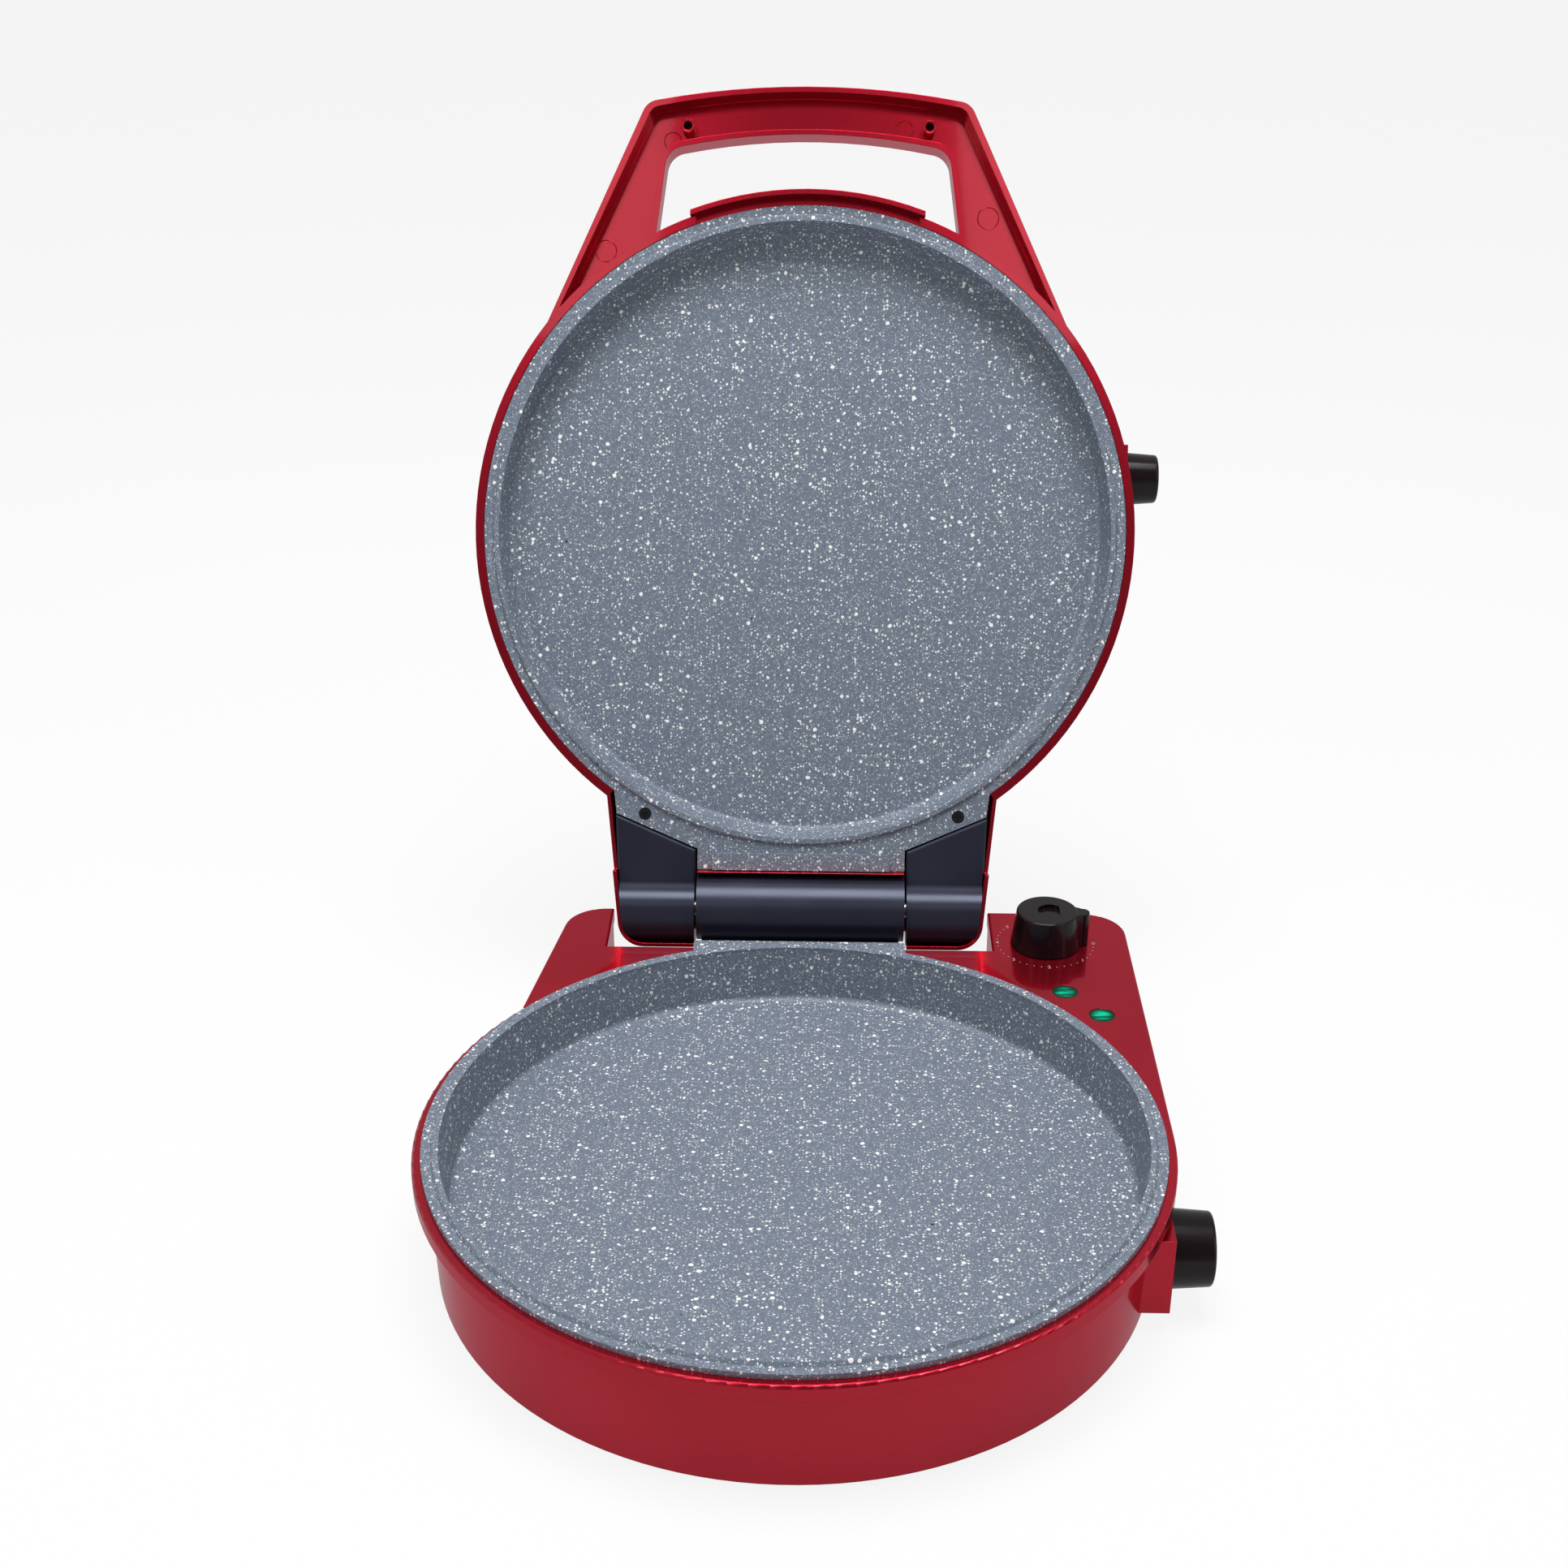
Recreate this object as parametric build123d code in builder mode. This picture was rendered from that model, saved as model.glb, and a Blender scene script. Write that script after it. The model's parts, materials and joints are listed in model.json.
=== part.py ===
from build123d import *
from math import atan2, cos, degrees, radians, sin, sqrt
import os

# Electric pizza maker with a hinged lid, in millimetres.
# X runs to the right, Y to the back and Z up from the table, with the pan's centre at X and Y zero.
# When the pieces are written they move down, so that the origin is the middle of the pan's floor.
# Every piece is modelled with the lid closed. The lid's pieces are swung open about the hinge when they
# are written, because the object is stored with its lid up.

# Overall heights
foot_height = 4.0
body_depth = 57.0
parting_z = foot_height + body_depth
seam_gap = 0.4
face_gap = 0.3
slip = 0.05

# Base's outer radius, the hinge drum's half length, and the hinge arms between them
rim_radius = 163.5
drum_half_length = 52.0
arm_gap = 1.2
barrel_inner = drum_half_length + arm_gap
barrel_setback = 71.5
barrel_outer = rim_radius - barrel_setback

# Cooking plates, whose sizes follow the base's outer radius
flange_setback = 4.0
flange_radius = rim_radius - flange_setback
flange_thickness = 2.5
flange_width = 7.5
plate_wall = 2.5
pan_mouth_radius = flange_radius - flange_width
pan_flare = 3.0
pan_floor_radius = pan_mouth_radius - pan_flare
pan_depth = 26.0
ridge_height = 1.6
ridge_width = 2.3
ridge_slope = 1.2
floor_blend = 3.0
tongue_spare = 0.2
tongue_half_width = drum_half_length + tongue_spare
tongue_setback = 2.5
tongue_end = rim_radius - tongue_setback
upper_step = 0.5
upper_mouth_radius = pan_mouth_radius - upper_step
upper_flare = 3.5
upper_floor_radius = upper_mouth_radius - upper_flare
upper_depth = 15.0
upper_flange_radius = flange_radius - upper_step
upper_tongue_reach = 4.0
upper_tongue_end = rim_radius + upper_tongue_reach
extension_neck_setback = 6.5
extension_neck_y = rim_radius - extension_neck_setback
extension_length = 17.4
extension_rear_y = extension_neck_y - extension_length
extension_taper = 13.6
extension_front_y = extension_rear_y - extension_taper
extension_cover = 1.0
extension_rear_half = barrel_outer + extension_cover
extension_flare = 1.5
extension_front_half = extension_rear_half + extension_flare
tab_pad_inset = 7.6
tab_pad_half = tongue_half_width - tab_pad_inset
tab_pad_setback = 2.0
tab_pad_front = extension_neck_y + tab_pad_setback
tab_pad_height = 3.0
plate_screw_inset = 13.3
plate_screw_x = barrel_outer - plate_screw_inset
plate_screw_setback = 23.8
plate_screw_y = rim_radius - plate_screw_setback

# Hinge
hinge_reach = 23.5
hinge_y = rim_radius + hinge_reach
hinge_rise = 4.5
open_angle = 111.0
pin_radius = 4.0
pin_root = 10.0
pin_start = drum_half_length - pin_root
pin_tail = 10.0
pin_end = barrel_outer - pin_tail
pin_spare = 1.0
barrel_radius = 13.0
barrel_stretch = 4.0
arm_height = 14.0
arm_flare = 1.4
arm_front_x = barrel_outer + arm_flare
arm_front_gap = 0.7
arm_front_y = extension_rear_y + arm_front_gap
arm_inner_gap = 0.6
arm_inner_y = extension_neck_y + arm_inner_gap
arm_lift = 1.0
arm_bevel = 1.0
drum_radius = 17.0
drum_gap = 1.6
drum_wall = 2.4
drum_seam_drop = 11.5
bracket_drop = 22.0
bracket_foot = 9.0
hinge_z = parting_z + hinge_rise

# Base housing
rim_height = 7.0
rim_round = 1.2
overhang = 6.0
wall_draft = 1.7
wall = 2.5
notch_margin = 3.5
notch_half_width = barrel_outer + notch_margin
notch_setback = 4.5
notch_front = rim_radius - notch_setback
deck_reach = 34.5
deck_rear = rim_radius + deck_reach
deck_corner = 20.0
ear_width = 20.8
ear_left = notch_half_width + ear_width
ear_flare = 13.7
ear_left_front = ear_left + ear_flare
ear_length = 97.0
ear_left_front_y = deck_rear - ear_length
rim_top = parting_z - flange_thickness
rim_low = rim_top - rim_height
well_gap = 0.7
well_radius = pan_mouth_radius + plate_wall + well_gap

# Controls on the deck
knob_from_notch = 26.8
knob_from_rear = 31.1
knob_x = notch_half_width + knob_from_notch
knob_y = deck_rear - knob_from_rear
knob_height = 18.0
knob_base_radius = 17.3
knob_top_radius = 15.0
knob_reach = 21.0
nub_radius = 3.3
nub_root = 6.5
nub_drop = 0.5
knob_lift = 0.6
knob_round = 1.0
bore_share = 0.6
thumb_radius = 6.2
thumb_depth = 2.0
thumb_shift = 1.5
shaft_radius = 3.0
shaft_gap = 1.0
control_size = 34.0
control_depth = 20.0
lens_radius = 6.0
lens_head = 1.4
lens_recess = 0.3
lens_stem_radius = 4.8
lens_stem = 6.0
power_lens_from_side = 35.8
power_lens_from_rear = 78.0
ready_lens_from_side = 20.4
ready_lens_from_rear = 99.0
lens_places = [
    (rim_radius - power_lens_from_side, deck_rear - power_lens_from_rear),
    (rim_radius - ready_lens_from_side, deck_rear - ready_lens_from_rear),
]
lamp_radius = 3.0
lamp_length = 10.0

# Lid shell
lid_rim_setback = 0.1
lid_rim_radius = rim_radius - lid_rim_setback
lid_rim_height = 8.0
lid_ledge = 4.6
lid_wall_radius = lid_rim_radius - lid_ledge
lid_skin = 1.8
lid_height = 41.0
lid_crown = 4.0
lid_shoulder = 14.0
block_setback = 33.5
block_front_y = rim_radius - block_setback
block_draw_in = 1.5
block_rear_half = barrel_outer - block_draw_in
block_flare = 7.5
block_front_half = block_rear_half + block_flare
block_height = 33.0
block_corner = 13.0
block_edge = 8.5
cutout_front = hinge_y - drum_radius - drum_gap
cutout_gap = 1.5
cutout_half = drum_half_length + cutout_gap
ceiling_step = 1.0
block_skirt = 9.0
skin_radius = barrel_radius + barrel_stretch + lid_skin + face_gap
lid_z = parting_z + 2 * ridge_height + seam_gap

# Handle, a loop in front of the lid
handle_root_x = 127.5
handle_root_setback = 61.5
handle_root_y = rim_radius - handle_root_setback
handle_front_x = 78.5
handle_reach = 44.0
handle_front_y = rim_radius + handle_reach
handle_bow = 7.5
handle_corner = 9.0
handle_height = 18.0
handle_bar = 22.5
opening_root_inset = 47.5
opening_root_x = handle_root_x - opening_root_inset
opening_front_inset = 10.0
opening_front_x = handle_front_x - opening_front_inset
opening_corner = 10.0
boss_from_end = 19.5
boss_x = handle_front_x - boss_from_end
boss_setback = 10.0
boss_y = handle_front_y - boss_setback
boss_radius = 3.4
boss_bore = 2.1
boss_sink = 5.0
handle_wall = 2.5
cap_thickness = 3.5
cap_width = 19.5
cap_front = handle_front_y - cap_width
hood_half_angle = 20.5
hood_thickness = 2.4
hood_drop = 4.0

# Side feet that the closed appliance stands on when it is stored upright
side_foot_stand = 12.5
side_foot_reach = rim_radius + side_foot_stand
base_foot_y = -38.0
base_foot_drop = 33.0
base_foot_radius = 17.0
lid_foot_y = -30.0
lid_foot_rise = 21.0
lid_foot_radius = 13.0
side_foot_taper = 1.2
side_foot_round = 1.5
pad_margin = 3.0
pad_depth = 20.0
base_pad_setback = 5.9
base_pad_face = rim_radius - base_pad_setback
lid_pad_setback = 3.5
lid_pad_face = rim_radius - lid_pad_setback

# Underside
cover_thickness = 2.5
cover_gap = 0.3
post_setback = 13.5
post_ring = rim_radius - post_setback
post_angles = (198.0, 270.0, 342.0)
post_from_rear = 48.0
post_rear_y = deck_rear - post_from_rear
post_radius = 4.5
post_bite = 0.6
post_height = 14.0
screw_radius = 1.5
screw_head_radius = 2.9
screw_head = 1.8
screw_sink = 1.9
screw_length = 12.0
screw_spare = 1.0
small_head_radius = 2.0
foot_chamfer = 0.8
rubber_foot_radius = 9.0
front_foot_inset = 63.5
front_foot_setback = 65.5
rear_foot_setback = 22.0
left_foot_inset = 11.8
right_foot_inset = 31.5
rubber_feet_places = [
    (front_foot_inset - rim_radius, front_foot_setback - rim_radius),
    (rim_radius - front_foot_inset, front_foot_setback - rim_radius),
    (left_foot_inset - ear_left, deck_rear - rear_foot_setback),
    (rim_radius - right_foot_inset, deck_rear - rear_foot_setback),
]
vent_length = 26.0
vent_width = 3.0
vent_count = 9
vent_pitch = 8.0
vent_row_y = 62.0
gland_radius = 6.0
gland_from_notch = 32.5
gland_x = notch_half_width + gland_from_notch
gland_rise = 18.0
gland_z = foot_height + gland_rise
gland_lip = 2.5
gland_length = 10.0
terminal_width = 30.0
terminal_from_rear = 48.0
terminal_y = deck_rear - terminal_from_rear

# Heaters
element_margin = 41.0
element_ring = pan_floor_radius - element_margin
element_radius = 3.5
element_turn = 318.0
terminal_radius = 1.6
terminal_length = 12.0
stud_ring = 70.0
stud_count = 3
stud_radius = 4.5
stud_length = 9.5
reflector_margin = 2.0
reflector_radius = pan_floor_radius - reflector_margin
reflector_sheet = 0.8
reflector_lip = 5.0
sensor_radius = 8.0
sensor_height = 6.5
sensor_y = 38.0
fuse_radius = 2.2
fuse_length = 14.0
fuse_x = 38.0
tab_length = 6.0

hinge_axis = Axis((0, hinge_y, hinge_z), (1, 0, 0))
side = Plane.YZ


def housing_plan(inset):
    """Outline of the base seen from above, drawn in by an inset, with the hinge notch cut out."""
    with BuildSketch() as plan:
        with BuildLine():
            Polyline(
                (-ear_left_front + inset, ear_left_front_y),
                (-ear_left + inset, deck_rear - inset),
                (rim_radius - inset, deck_rear - inset),
                (rim_radius - inset, 0),
                (0, 0),
                close=True,
            )
        make_face()
        rear = plan.vertices().group_by(Axis.Y)[-1]
        fillet(rear, radius=deck_corner - inset)
        Circle(rim_radius - inset)
        with Locations((0, (notch_front + 2 * deck_rear) / 2)):
            Rectangle(2 * notch_half_width, 2 * deck_rear - notch_front, mode=Mode.SUBTRACT)
    return plan.sketch


def cavity_plan(inset):
    """The housing's outline again, with the notch grown so that a wall is left round it."""
    with BuildSketch() as plan:
        add(housing_plan(inset))
        with Locations((0, (notch_front + 2 * deck_rear) / 2 - wall)):
            Rectangle(2 * (notch_half_width + wall), 2 * deck_rear - notch_front, mode=Mode.SUBTRACT)
    return plan.sketch


def upper_plan(grow):
    """Outline of the upper plate seen from above, a disc whose rear corners reach the hinge arms."""
    with BuildSketch() as plan:
        Circle(upper_flange_radius + grow)
        with BuildLine():
            Polyline(
                (extension_front_half + grow, extension_front_y),
                (extension_rear_half + grow, extension_rear_y + grow),
                (tongue_half_width + grow, extension_neck_y + grow),
                (tongue_half_width + grow, upper_tongue_end + grow),
                (-tongue_half_width - grow, upper_tongue_end + grow),
                (-tongue_half_width - grow, extension_neck_y + grow),
                (-extension_rear_half - grow, extension_rear_y + grow),
                (-extension_front_half - grow, extension_front_y),
                close=True,
            )
        make_face()
    return plan.sketch


def block_plan(inset):
    """Tapered rear block of the lid seen from above."""
    rear_y = hinge_y + skin_radius - inset
    with BuildSketch() as plan:
        with BuildLine():
            Polyline(
                (-block_front_half + inset, block_front_y),
                (-block_rear_half + inset, rear_y),
                (block_rear_half - inset, rear_y),
                (block_front_half - inset, block_front_y),
                (0, 0),
                close=True,
            )
        make_face()
        fillet(plan.vertices().group_by(Axis.Y)[-1], radius=block_corner - inset)
    return plan.sketch


def corner_at(points, across, up):
    """The corner of a sketch that lies nearest to a place in its plane."""
    return points.sort_by(lambda v: (v.X - across) ** 2 + (v.Y - up) ** 2)[:1]


def lid_mass(inset):
    """The lid's outer form, a crowned dome with the hinge block behind it, drawn in by an inset."""
    radius = lid_wall_radius - inset
    top = lid_z + lid_height - inset
    rear_y = hinge_y + skin_radius - inset
    with BuildPart() as mass:
        with BuildSketch(Plane.XY.offset(hinge_z - block_skirt)):
            add(block_plan(inset))
        extrude(amount=2 * lid_height)
        with BuildSketch(side) as profile:
            with BuildLine():
                Polyline(
                    (0, lid_z),
                    (hinge_y - skin_radius, lid_z),
                    (hinge_y - skin_radius, hinge_z - block_skirt),
                    (rear_y, hinge_z - block_skirt),
                    (rear_y, lid_z + block_height / 2),
                    (hinge_y - skin_radius / 2, lid_z + block_height - inset),
                    (0, lid_z + block_height - inset),
                    close=True,
                )
            make_face()
            low = corner_at(profile.vertices(), rear_y, lid_z + block_height / 2)
            fillet(low, radius=block_edge)
            high = corner_at(profile.vertices(), hinge_y - skin_radius / 2, lid_z + block_height - inset)
            fillet(high, radius=2 * block_corner)
        extrude(amount=rim_radius, both=True, mode=Mode.INTERSECT)
        with BuildSketch(Plane.XZ) as dome:
            with BuildLine():
                crown = ThreePointArc(
                    (0, top + lid_crown),
                    (radius / 2, top + lid_crown * 3 / 4),
                    (radius, top),
                )
                Polyline(crown @ 1, (radius, lid_z), (0, lid_z), crown @ 0)
            make_face()
            fillet(corner_at(dome.vertices(), radius, top), radius=lid_shoulder - inset)
        revolve(axis=Axis.Z)
    return mass.part


def handle_outline(inset):
    """Outside of the handle loop seen from above, drawn in by an inset."""
    with BuildSketch() as plan:
        with BuildLine():
            bow = ThreePointArc(
                (-handle_front_x + inset, -handle_front_y + inset),
                (0, -handle_front_y - handle_bow + inset),
                (handle_front_x - inset, -handle_front_y + inset),
            )
            Polyline(
                bow @ 1,
                (handle_root_x - inset, -handle_root_y),
                (-handle_root_x + inset, -handle_root_y),
                bow @ 0,
            )
        make_face()
        front = plan.vertices().filter_by(lambda v: v.Y < -handle_root_y - handle_bar)
        fillet(front, radius=handle_corner - inset)
    return plan.sketch


def finger_opening(grow):
    """Gap between the handle and the lid's rim, grown on every side."""
    front_y = handle_front_y - handle_bar
    with BuildSketch() as plan:
        with BuildLine():
            bow = ThreePointArc(
                (-opening_front_x - grow, -front_y - grow),
                (0, -front_y - handle_bow - grow),
                (opening_front_x + grow, -front_y - grow),
            )
            Polyline(
                bow @ 1,
                (opening_root_x + grow, -handle_root_y),
                (-opening_root_x - grow, -handle_root_y),
                bow @ 0,
            )
        make_face()
        front = plan.vertices().filter_by(lambda v: v.Y < -handle_root_y - handle_bar)
        fillet(front, radius=opening_corner + grow)
        Circle(lid_rim_radius - grow, mode=Mode.SUBTRACT)
    return plan.sketch


def dish(mouth, floor, depth, flange, face_z, turn):
    """Half section of a plate, opening up where turn is 1 and down where it is -1."""
    lean = (mouth - floor) / depth * plate_wall
    floor_z = face_z - turn * depth
    with BuildSketch(Plane.XZ) as section:
        with BuildLine():
            Polyline(
                (0, floor_z),
                (floor, floor_z),
                (mouth, face_z),
                (mouth, face_z + turn * ridge_height),
                (mouth + ridge_width, face_z + turn * ridge_height),
                (mouth + ridge_width + ridge_slope, face_z),
                (flange, face_z),
                (flange, face_z - turn * flange_thickness),
                (mouth + plate_wall - lean, face_z - turn * flange_thickness),
                (floor + plate_wall - lean, floor_z - turn * plate_wall),
                (0, floor_z - turn * plate_wall),
                close=True,
            )
        make_face()
        fillet(corner_at(section.vertices(), floor, floor_z), radius=floor_blend)
    return section.sketch


def heater(z):
    """Tubular heating element bent to an open ring, with a terminal pin at each end."""
    turn = radians(element_turn)
    start = Plane(origin=(element_ring, 0, z), x_dir=(1, 0, 0), z_dir=(0, -1, 0))
    end = Plane(
        origin=(element_ring * cos(turn), element_ring * sin(turn), z),
        x_dir=(cos(turn), sin(turn), 0),
        z_dir=(-sin(turn), cos(turn), 0),
    )
    with BuildPart() as element:
        with BuildSketch(Plane.XZ):
            with Locations((element_ring, z)):
                Circle(element_radius)
        revolve(axis=Axis.Z, revolution_arc=element_turn)
        for face in (start, end):
            with BuildSketch(face):
                Circle(terminal_radius)
            extrude(amount=terminal_length)
    return element.part


def reflector(z, turn):
    """Sheet metal dish that throws the heat at a plate, with holes for the studs and the sensor."""
    with BuildPart() as shield:
        with BuildSketch(Plane.XZ):
            with BuildLine():
                Polyline(
                    (0, z),
                    (reflector_radius - reflector_lip, z),
                    (reflector_radius - reflector_sheet, z + turn * reflector_lip),
                    (reflector_radius, z + turn * reflector_lip),
                    (reflector_radius - reflector_lip + reflector_sheet, z - turn * reflector_sheet),
                    (0, z - turn * reflector_sheet),
                    close=True,
                )
            make_face()
        revolve(axis=Axis.Z)
        with BuildSketch(Plane.XY.offset(z)):
            with PolarLocations(stud_ring, stud_count):
                Circle(screw_radius + slip)
            with Locations((0, sensor_y)):
                Circle(sensor_radius + wall)
        extrude(amount=2 * reflector_sheet, both=True, mode=Mode.SUBTRACT)
    return shield.part


def studs(z, turn):
    """Bored studs on the back of a plate, which carry its reflector."""
    with BuildPart() as pegs:
        with BuildSketch(Plane.XY.offset(z)):
            with PolarLocations(stud_ring, stud_count):
                Circle(stud_radius)
                Circle(screw_radius, mode=Mode.SUBTRACT)
        extrude(amount=-turn * stud_length)
    return pegs.part


def screw(length, head_radius, turn=1):
    """Cross head screw with its head's inner face at height 0, pointing up where turn is 1."""
    with BuildPart() as fastener:
        with BuildSketch(Plane.XY):
            Circle(head_radius)
        extrude(amount=-turn * screw_head)
        with BuildSketch(Plane.XY):
            Circle(screw_radius)
        extrude(amount=turn * length)
        with BuildSketch(Plane.XY.offset(-turn * screw_head)):
            Rectangle(head_radius * 1.2, head_radius / 4)
            Rectangle(head_radius / 4, head_radius * 1.2)
        extrude(amount=turn * screw_head / 2, mode=Mode.SUBTRACT)
    return fastener.part


def sensor(z, turn):
    """Disc thermostat with two tabs, held against the back of a plate."""
    with BuildPart() as disc:
        with BuildSketch(Plane.XY.offset(z)):
            with Locations((0, sensor_y)):
                Circle(sensor_radius)
        extrude(amount=-turn * sensor_height)
        with BuildSketch(Plane.XY.offset(z)):
            with Locations((0, sensor_y)):
                Rectangle(sensor_radius * 3, sensor_radius)
        extrude(amount=-turn * reflector_sheet)
        with BuildSketch(Plane.XY.offset(z - turn * sensor_height)):
            with Locations((-sensor_radius / 2, sensor_y), (sensor_radius / 2, sensor_y)):
                Rectangle(reflector_sheet, sensor_radius / 2)
        extrude(amount=-turn * tab_length)
    return disc.part


def fuse(z, turn):
    """Thermal fuse clipped along the back of a plate."""
    with BuildPart() as link:
        with BuildSketch(side.offset(fuse_x)):
            with Locations((0, z - turn * (fuse_radius + face_gap))):
                Circle(fuse_radius)
        extrude(amount=fuse_length)
    return link.part


def lens(place):
    """Round indicator lens, a flat head with a stem that passes the deck."""
    with BuildPart() as glass:
        with BuildSketch(Plane.XY.offset(rim_top - lens_head)):
            with Locations(place):
                Circle(lens_radius)
        extrude(amount=lens_head - lens_recess)
        with BuildSketch(Plane.XY.offset(rim_top - lens_head)):
            with Locations(place):
                Circle(lens_stem_radius)
        extrude(amount=-lens_stem)
    return glass.part


def arm_web(way):
    """Flat web of a hinge arm, bevelled along the edges that show beside the plate."""
    with BuildPart() as web:
        with BuildSketch(Plane.XY.offset(lid_z - arm_lift)):
            with BuildLine():
                Polyline(
                    (way * barrel_inner, arm_inner_y),
                    (way * arm_front_x, arm_front_y),
                    (way * barrel_outer, hinge_y - barrel_radius / 2),
                    (way * barrel_inner, hinge_y - barrel_radius / 2),
                    close=True,
                )
            make_face()
        extrude(amount=arm_height)
        chamfer(web.edges().group_by(Axis.Z)[0], length=arm_bevel)
    return web.part


def hinge_arm(way):
    """Arm between the lid and the hinge pin, a flat web that ends in a bored barrel."""
    with BuildPart() as arm:
        with BuildSketch(side.offset(way * barrel_inner)):
            with Locations((hinge_y, hinge_z), (hinge_y + barrel_stretch, hinge_z)):
                Circle(barrel_radius)
            with Locations((hinge_y + barrel_stretch / 2, hinge_z)):
                Rectangle(barrel_stretch, 2 * barrel_radius)
        extrude(amount=way * (barrel_outer - barrel_inner))
        add(arm_web(way))
        with BuildSketch(Plane.XY.offset(hinge_z - lid_height)):
            add(block_plan(lid_skin + face_gap))
        extrude(amount=2 * lid_height, mode=Mode.INTERSECT)
        with BuildSketch(side.offset(way * barrel_inner)):
            with Locations((hinge_y, hinge_z)):
                Circle(pin_radius + slip)
        extrude(amount=way * (pin_end + 2 * slip - barrel_inner + pin_spare), mode=Mode.SUBTRACT)
    return arm.part


def side_foot(face_x, y, z, radius):
    """Turned foot on the appliance's right side, a short taper with a rounded end."""
    with BuildPart() as foot:
        with BuildSketch(side.offset(face_x)):
            with Locations((y, z)):
                Circle(radius)
        with BuildSketch(side.offset(side_foot_reach)):
            with Locations((y, z)):
                Circle(radius - side_foot_taper)
        loft()
        fillet(foot.edges().group_by(Axis.X)[-1], radius=side_foot_round)
    return foot.part


# Heights that several pieces share
pan_under = parting_z - pan_depth - plate_wall
reflector_z = pan_under - stud_length
cover_top = foot_height + cover_thickness
cavity_top = rim_top - wall
lamp_top = rim_top - lens_head - lens_stem - face_gap
knob_low = rim_top + knob_lift
plate_back = lid_z + flange_thickness
upper_back = lid_z + upper_depth + plate_wall
upper_reflector_z = upper_back + stud_length
drum_seam_z = hinge_z - drum_seam_drop
base_foot_z = parting_z - base_foot_drop
lid_foot_z = lid_z + lid_foot_rise
gland_face = deck_rear - overhang - wall_draft * (rim_low - gland_z) / (rim_low - foot_height)

# Places that repeat
ear_slope = (ear_left_front - ear_left) / (deck_rear - ear_left_front_y)
post_left_x = -ear_left - (deck_rear - post_rear_y) * ear_slope
front_posts = [(post_ring * cos(radians(a)), post_ring * sin(radians(a))) for a in post_angles]
rear_posts = [
    (post_left_x + overhang + wall_draft + wall + post_radius - post_bite, post_rear_y),
    (rim_radius - overhang - wall_draft - wall - post_radius + post_bite, post_rear_y),
]
post_places = front_posts + rear_posts
plate_screw_places = [(-plate_screw_x, plate_screw_y), (plate_screw_x, plate_screw_y)]
handle_boss_places = [(-boss_x, -boss_y), (boss_x, -boss_y)]

# Base housing, a tapered tub with the rim and the rear deck on top, hollow and open below
with BuildPart() as base_housing:
    with BuildSketch(Plane.XY.offset(rim_low)):
        add(housing_plan(overhang))
    with BuildSketch(Plane.XY.offset(foot_height)):
        add(housing_plan(overhang + wall_draft))
    loft(ruled=True)
    with BuildSketch(side.offset(base_pad_face)):
        with Locations((base_foot_y, base_foot_z)):
            Rectangle(2 * (base_foot_radius + pad_margin), 2 * base_foot_radius + pad_margin)
    extrude(amount=-pad_depth)
    with BuildSketch(Plane.XY.offset(rim_low)):
        add(housing_plan(0))
    extrude(amount=rim_height)
    fillet(base_housing.edges().group_by(Axis.Z)[-1], radius=rim_round)
    with BuildSketch(Plane.XY.offset(cavity_top)):
        add(cavity_plan(overhang + wall))
    with BuildSketch(Plane.XY.offset(foot_height)):
        add(cavity_plan(overhang + wall + wall_draft))
    loft(ruled=True, mode=Mode.SUBTRACT)
    with BuildSketch(Plane.XY.offset(cavity_top)):
        Circle(well_radius)
    extrude(amount=2 * wall, mode=Mode.SUBTRACT)
    with BuildSketch(Plane.XY.offset(cover_top)):
        with Locations(*post_places):
            Circle(post_radius)
    extrude(amount=post_height)
    with BuildSketch(Plane.XY.offset(cover_top)):
        with Locations(*post_places):
            Circle(screw_radius)
    extrude(amount=post_height, mode=Mode.SUBTRACT)
    with BuildSketch(Plane.XY.offset(cavity_top)):
        with Locations((knob_x, knob_y)):
            Circle(shaft_radius + shaft_gap)
        with Locations(*lens_places):
            Circle(lens_stem_radius + face_gap)
    extrude(amount=2 * wall, mode=Mode.SUBTRACT)
    with BuildSketch(Plane.XY.offset(rim_top - lens_head)):
        with Locations(*lens_places):
            Circle(lens_radius + face_gap / 2)
    extrude(amount=2 * lens_head, mode=Mode.SUBTRACT)
    with BuildSketch(Plane.XZ.offset(-deck_rear)):
        with Locations((gland_x, gland_z)):
            Circle(gland_radius)
    extrude(amount=overhang + 3 * wall, mode=Mode.SUBTRACT)

# Bottom cover with three rows of vents, its screws and the rubber feet
with BuildPart() as bottom_cover:
    with BuildSketch(Plane.XY.offset(foot_height)):
        add(cavity_plan(overhang + wall + wall_draft + cover_gap))
        with Locations(*post_places):
            Circle(screw_radius + 2 * slip, mode=Mode.SUBTRACT)
        with GridLocations(vent_pitch, vent_row_y, vent_count, 3):
            SlotOverall(vent_length, vent_width, rotation=90, mode=Mode.SUBTRACT)
    extrude(amount=cover_thickness)
    with BuildSketch(Plane.XY.offset(foot_height)):
        with Locations(*post_places):
            Circle(screw_head_radius + face_gap)
    extrude(amount=screw_sink, mode=Mode.SUBTRACT)

with BuildPart(Plane.XY.offset(foot_height + screw_sink)) as bottom_screws:
    with Locations(*post_places):
        add(screw(screw_length, screw_head_radius))

with BuildPart() as rubber_feet:
    with BuildSketch(Plane.XY):
        with Locations(*rubber_feet_places):
            Circle(rubber_foot_radius)
    extrude(amount=foot_height)
    chamfer(rubber_feet.edges().group_by(Axis.Z)[0], length=foot_chamfer)

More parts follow.
